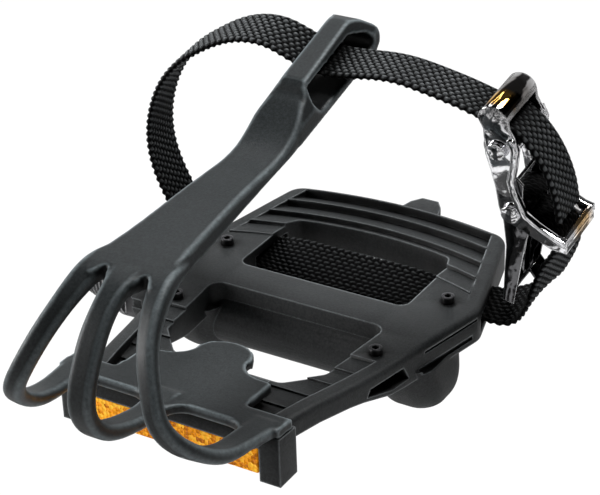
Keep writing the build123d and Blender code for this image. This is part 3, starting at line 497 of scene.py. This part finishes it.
# Strap: columns of woven lumps on both faces; in the window and by the buckle it turns more than the solid
# Stations: across, up along the leaning plane, shift over the width, turn about the run in degrees
STRAP_ROUTE = (
    (60.8, 38.0, 0, 0), (57.6, 39.3, 0, 0), (54.2, 38.7, 0, 0), (52.9, 36.2, 0, 0), (54.5, 33.7, 0, 0),
    (58.5, 33.2, 0, 0), (63.2, 32.6, 0, 0), (66.4, 30.0, 0, 2), (67.0, 26.4, 0.2, 8),
    (63.6, 17.5, 1.0, 20), (60.0, 9.6, 1.8, 16), (55.6, 2.6, 2.4, -2), (51.4, -2.0, 2.8, -18),
    (48.0, -4.2, 3.0, -24), (44.6, -5.0, 3.0, -12), (40.0, -5.2, 2.8, -9), (34.0, -5.1, 2.0, -10),
    (26.0, -4.8, 0.5, -14), (19.0, -3.9, -0.5, -23), (10.0, -3.5, -1.1, -26), (0.0, -3.3, -1.3, -26),
    (-10.0, -3.1, -1.5, -27), (-19.0, -3.5, -1.4, -26), (-26.0, -4.7, -0.5, -12), (-34.0, -5.1, 0, -5),
    (-43.0, -4.6, 0, -2), (-49.3, -1.4, 0, 0), (-53.9, 7.0, 0, 0), (-56.8, 15.5, 0, 0),
    (-58.2, 25.2, 0, 0), (-57.4, 33.2, 0, 0), (-54.6, 42.0, 0, 0), (-50.8, 49.2, 0, 0),
    (-45.7, 55.6, 0, 0), (-40.8, 60.0, 0, 0), (-35.0, 64.0, 0, 0), (-27.4, 68.2, 0, 2),
    (-20.0, 70.4, 0, 5), (-13.0, 70.2, 0, 8), (-6.5, 67.8, 0, 10), (0.0, 65.8, 0, 9), (7.0, 65.4, 0, 6),
    (14.0, 66.3, 0, 3), (23.0, 66.9, 0, 0), (32.0, 65.6, 0, 0), (42.0, 63.3, 0, 0), (49.0, 61.3, 0, 0),
    (53.2, 60.3, 0, 0), (57.2, 58.6, 0, 0), (60.6, 55.2, 0, 0), (63.4, 50.8, 0, 0), (65.4, 46.0, 0, 0),
    (66.8, 40.5, 0, 0), (67.4, 34.6, 0, 0))
ROW_STEP = 0.32       # between rows of vertices along the run
CELLS = 4             # faces across one column of lumps
CORE = 0.36           # half thickness between the lumps
LUMP = 0.6            # height of a lump
LEAST_LUMP = 0.2      # share of that height between two lumps of a column
BOXY = 4              # how square a lump is over its column
PLUMP = 0.6           # how full it is
SCALLOP = 0.2         # how far the edges wave in and out
SELVEDGE = 0.93       # where the edge starts to thin, as a share of the half width
SELVEDGE_THIN = 0.35  # share of the thickness that the edge loses
BACK_LAG = 0.25       # how far the back's lumps lag the front's, in steps
EASE_ROWS = 25        # rows over which shift and turn are eased


def strap_rows():
    """Along the strap: the run, its place and heading in the plane, and its shift and turn."""
    across, height, moves, twists = np.array(STRAP_ROUTE, dtype=float).T
    rough_run = np.hypot(np.diff(across), np.diff(height)).sum()
    run, spots, heading = spline(list(zip(across, height)), int(rough_run / ROW_STEP))
    marks = [run[np.argmin(np.hypot(spots[:, 0] - x, spots[:, 1] - v))] for x, v in zip(across, height)]
    marks[-1] = run[-1]
    window = np.hanning(EASE_ROWS) / np.hanning(EASE_ROWS).sum()
    eased = []
    for line in (np.interp(run, marks, moves), np.radians(np.interp(run, marks, twists))):
        eased.append(np.convolve(np.pad(line, EASE_ROWS // 2, mode="edge"), window, mode="valid"))
    return run, spots, heading, *eased


def lump_height(s, j, face):
    """Height of the weave over the middle of the strap, and the share of the half width it stands at."""
    c = j / (COLUMNS * CELLS) * 2 - 1
    column = min(j // CELLS, COLUMNS - 1)
    local = (j - column * CELLS) / CELLS * 2 - 1
    beat = 0.5 + 0.5 * cos(tau * (s / WEAVE_STEP + 0.5 * column + (BACK_LAG if face < 0 else 0.0)))
    swell = (1 - local ** BOXY) ** PLUMP * (LEAST_LUMP + (1 - LEAST_LUMP) * beat ** PLUMP)
    rise = CORE + LUMP * swell
    return rise * (1.0 - SELVEDGE_THIN * max(0.0, abs(c) - SELVEDGE) / (1 - SELVEDGE)), c


def strap_mesh():
    """Vertices, faces and run coordinates of the woven strap, row by row with both faces in a row."""
    across = COLUMNS * CELLS + 1
    ring = 2 * across
    verts, uvs, faces = [], [], []
    rows = list(zip(*strap_rows()))
    for s, (x, v), (tx, tv), move, turn in rows:
        half = STRAP_HALF - SCALLOP + SCALLOP * cos(tau * s / WEAVE_STEP)
        for face in (1, -1):
            for j in range(across):
                rise, c = lump_height(s, j, face)
                out = face * rise * cos(turn) + c * half * sin(turn)
                over = c * half * cos(turn) - face * rise * sin(turn)
                verts.append(strap_point(x - tv * out, v + tx * out, move + over))
                uvs.append((s + (BACK_LAG * WEAVE_STEP if face < 0 else 0.0), c * STRAP_HALF))
    for i in range(len(rows) - 1):
        a, b = i * ring, (i + 1) * ring
        for j in range(across - 1):
            faces.append((a + j, a + j + 1, b + j + 1, b + j))
            faces.append((a + across + j, b + across + j, b + across + j + 1, a + across + j + 1))
        faces.append((a, b, b + across, a + across))
        faces.append((a + across - 1, a + ring - 1, b + ring - 1, b + across - 1))
    last = (len(rows) - 1) * ring
    for base, way in ((0, 1), (last, -1)):
        for j in range(across - 1):
            quad = (base + j, base + across + j, base + across + j + 1, base + j + 1)
            faces.append(quad[::way])
    return verts, faces, uvs


verts, faces, uvs = strap_mesh()
strap = new_piece("woven_strap", verts, faces, webbing_material(), "platform", "webbing", "strap")
layer = strap.data.uv_layers.new(name="run")
for loop in strap.data.loops:
    layer.data[loop.index].uv = uvs[loop.vertex_index]

# Spindle: crank thread with its socket, flange, spanner flats and the turned shaft
THREAD_R, THREAD_LEN, PITCH, THREAD_DEPTH = 7.14, 12.5, 1.27, 0.8
LEAD_IN = 1.1         # length over which the thread grows to its full depth
LEAD_SHARE, LEAD_DROP = 0.25, 0.3     # share of the depth at its start, and how much lower it lies
FLANK_SLOPE, ROOT_FLAT = 2.6, 0.15    # how steep the thread's flanks are, and its flat root
RUN_OUT = 1.2         # plain neck between the thread and the flange
THREAD_STEP = 0.14    # between rings of vertices along the thread
RING_GAP = 0.02       # between the nose and the first of those rings
NECK_R = THREAD_R - 0.75
NECK_FROM, NECK_ROUND = -1.0, 0.15
NOSE_R = THREAD_R - 1.1
FLANGE_R, FLANGE_LEN, FLATS, FLATS_END = 10.2, 2.2, 15.0, 6.2
JOURNAL_R, JOURNAL_END, SHAFT_R, SHAFT_END, TAIL_R, SPINDLE_END = 6.5, 26.5, 5.2, 82.0, 4.0, 96.7
SOCKET, SOCKET_DEPTH, SOCKET_MOUTH = 3.0, 7.0, 3.35
CHAMFER, FLANGE_CHAMFER, TAIL_CHAMFER = 0.4, 0.3, 0.5
FLAT_CLEAR = 0.05     # how far the spanner flats' ring lies inside the flange
SOCKET_TIP, TAIL_TIP = 0.3, 0.4
SIDES = 72
SHARP_ANGLE = radians(38)


def hexagon(inside):
    """A hexagonal ring, from half its width across flats."""
    return lambda x, angle: inside / cos((angle + pi / 6) % (pi / 3) - pi / 6)


def circle(radius):
    return lambda x, angle: radius


def flats(radius):
    """A round ring with two spanner flats."""
    return lambda x, angle: min(radius, FLATS / 2 / max(abs(cos(angle)), 1e-6))


def thread(x, angle):
    """The thread's radius along a helix, shallow at its start."""
    phase = (x / PITCH - angle / tau) % 1.0
    crest = min(1.0, max(0.0, FLANK_SLOPE * abs(phase - 0.5) - ROOT_FLAT))
    lead = min(1.0, max(0.0, (x + THREAD_LEN) / LEAD_IN))
    depth = THREAD_DEPTH * (LEAD_SHARE + (1 - LEAD_SHARE) * lead)
    return THREAD_R - THREAD_DEPTH + depth * crest - LEAD_DROP * (1 - lead)


def spindle_rings():
    """The spindle's rings of vertices from the bottom of its socket to its far end, as x and shape."""
    length = THREAD_LEN - RUN_OUT
    steps = int(length / THREAD_STEP)
    rings = [(SOCKET_DEPTH - THREAD_LEN, circle(SOCKET_TIP)), (SOCKET_DEPTH - THREAD_LEN, hexagon(SOCKET)),
             (CHAMFER - THREAD_LEN, hexagon(SOCKET)), (-THREAD_LEN, hexagon(SOCKET_MOUTH)),
             (-THREAD_LEN, circle(NOSE_R))]
    rings += [(-THREAD_LEN + RING_GAP + length * i / steps, thread) for i in range(steps + 1)]
    spanner_r = FLANGE_R - FLAT_CLEAR
    rings += [(NECK_FROM, circle(NECK_R)), (-NECK_ROUND, circle(NECK_R)), (0.0, circle(NECK_R + NECK_ROUND)),
              (0.0, circle(FLANGE_R - CHAMFER)), (CHAMFER, circle(FLANGE_R)),
              (FLANGE_LEN - FLANGE_CHAMFER, circle(FLANGE_R)), (FLANGE_LEN, flats(spanner_r)),
              (FLATS_END - CHAMFER, flats(spanner_r)), (FLATS_END, flats(spanner_r - CHAMFER)),
              (FLATS_END, circle(JOURNAL_R)), (JOURNAL_END, circle(JOURNAL_R)),
              (JOURNAL_END, circle(SHAFT_R)), (SHAFT_END, circle(SHAFT_R)), (SHAFT_END, circle(TAIL_R)),
              (SPINDLE_END - TAIL_CHAMFER, circle(TAIL_R)), (SPINDLE_END, circle(TAIL_R - TAIL_CHAMFER)),
              (SPINDLE_END, circle(TAIL_TIP))]
    return rings


def spindle_mesh():
    rings = spindle_rings()
    verts, faces = [], []
    for x, shape in rings:
        for k in range(SIDES):
            angle = tau * k / SIDES
            r = shape(x, angle)
            verts.append(Vector((x, r * cos(angle), r * sin(angle))) * MM)
    for i in range(len(rings) - 1):
        for k in range(SIDES):
            a, b = i * SIDES + k, i * SIDES + (k + 1) % SIDES
            faces.append((a, b, b + SIDES, a + SIDES))
    faces.append(tuple(range(SIDES)))
    faces.append(tuple(reversed(range((len(rings) - 1) * SIDES, len(rings) * SIDES))))
    return verts, faces


spindle_steel = chrome("spindle_steel", (0.16, 0.16, 0.165), rough=0.28)
spindle = new_piece("threaded_spindle", *spindle_mesh(), spindle_steel, "axle", "axle_steel", "spindle")
spindle.data.set_sharp_from_angle(angle=SHARP_ANGLE)

# Camera, at the photograph's angle: focal length in pixels of its frame, distance and shift in millimetres
AZ, EL, ROLL = radians(31.855), radians(28.628), radians(-2.0)
FRAME_WIDTH_PX, FOCAL_PX = 600.0, 1947.998
DISTANCE, SHIFT_X, SHIFT_Y = 526.53, 2.776, -12.189
SENSOR = 36.0

back = Vector((sin(AZ) * cos(EL), -cos(AZ) * cos(EL), sin(EL)))
right = Vector((cos(AZ), sin(AZ), 0.0))
up = back.cross(right)
cam_right = right * cos(ROLL) + up * sin(ROLL)
cam_up = up * cos(ROLL) - right * sin(ROLL)
eye = Vector((MID, 0.0, TOP)) + cam_right * -SHIFT_X + cam_up * -SHIFT_Y + back * DISTANCE
camera = bpy.data.objects.new("camera", bpy.data.cameras.new("camera"))
scene.collection.objects.link(camera)
axes = Matrix((cam_right, cam_up, back)).transposed().to_4x4()
camera.matrix_world = Matrix.Translation(eye * MM) @ axes
camera.data.sensor_width = SENSOR
camera.data.sensor_fit = "HORIZONTAL"
camera.data.lens = SENSOR * FOCAL_PX / FRAME_WIDTH_PX
camera.data.clip_start = 0.01
scene.camera = camera

# Stage, in metres: a floor clear of the platform's sweep as it turns on its axle, and the lamps
FLOOR_Z, FLOOR_HALF = -0.112, 3.0
CENTRE = Vector((MID * MM, -0.01, 0.03))
KEY_PLACE = (-0.30, 0.38, 0.75)

grid = bmesh.new()
bmesh.ops.create_grid(grid, x_segments=1, y_segments=1, size=FLOOR_HALF)
floor_mesh = bpy.data.meshes.new("floor")
grid.to_mesh(floor_mesh)
grid.free()
floor = bpy.data.objects.new("floor", floor_mesh)
floor.location = (MID * MM, 0.0, FLOOR_Z)
scene.collection.objects.link(floor)
floor_mesh.materials.append(floor_material())


def square_lamp(name, place, size, power):
    """A square lamp that faces the object."""
    lamp = bpy.data.lights.new(name, "AREA")
    lamp.size = size
    lamp.energy = power
    obj = bpy.data.objects.new(name, lamp)
    obj.location = place
    obj.rotation_euler = (CENTRE - Vector(place)).to_track_quat("-Z", "Y").to_euler()
    scene.collection.objects.link(obj)
    return obj


key = square_lamp("key", KEY_PLACE, size=0.25, power=15.5)
key.visible_glossy = False
square_lamp("glint", KEY_PLACE, size=0.3, power=2.6)
square_lamp("left", (-0.85, -0.45, 0.26), size=0.4, power=7.5)
square_lamp("rim", (0.32, 0.26, 0.85), size=0.25, power=6.0)

# World: white to the camera; to reflections a bright backdrop and two side strips in a dim room
AMBIENT = 0.056
ROOM = 0.8
DIM, DIM_OVERHEAD = 0.02, 0.06
BACKDROP_EDGE, BACKDROP_TOP = (0.28, 0.40), (0.2, 0.36)
STRIP_INNER, STRIP_OUTER, STRIP_TOP = (0.60, 0.63), (0.78, 0.81), (0.30, 0.36)


def studio_world():
    world = bpy.data.worlds.new("studio")
    world.use_nodes = True
    n = Tree(world.node_tree)
    rays = n.node("ShaderNodeLightPath").outputs
    way = n.node("ShaderNodeTexCoord").outputs["Generated"]
    height = n.split(way)["Z"]
    facing = n.measure("DOT_PRODUCT", way, (-sin(AZ), cos(AZ), 0.0))
    aside = n.math("ABSOLUTE", n.measure("DOT_PRODUCT", way, (cos(AZ), sin(AZ), 0.0)))
    backdrop = n.math("MULTIPLY", n.span(facing, *BACKDROP_EDGE, DIM, 1.0, smooth=True),
                      n.span(height, *BACKDROP_TOP, 1.0, DIM_OVERHEAD, smooth=True))
    strips = n.math("MULTIPLY", n.span(aside, *STRIP_INNER, 0.0, 1.0, smooth=True),
                    n.span(aside, *STRIP_OUTER, 1.0, 0.0, smooth=True))
    strips = n.math("MULTIPLY", strips, n.span(height, *STRIP_TOP, 1.0, 0.0, smooth=True))
    room = n.math("MULTIPLY", n.math("MAXIMUM", backdrop, strips), ROOM)
    plain = n.math("MAXIMUM", rays["Is Camera Ray"], rays["Is Transmission Ray"])
    mirrored = n.math("MULTIPLY", rays["Is Glossy Ray"], room)
    ambient = n.math("MULTIPLY", n.math("SUBTRACT", 1.0, rays["Is Glossy Ray"]), AMBIENT)
    strength = n.math("MAXIMUM", plain, n.math("ADD", mirrored, ambient))
    light = n.node("ShaderNodeBackground", Color=(1.0, 1.0, 1.0), Strength=strength)
    out = n.node("ShaderNodeOutputWorld")
    n.link(light.outputs["Background"], out.inputs["Surface"])
    return world


scene.world = studio_world()
scene.view_settings.view_transform = "Standard"
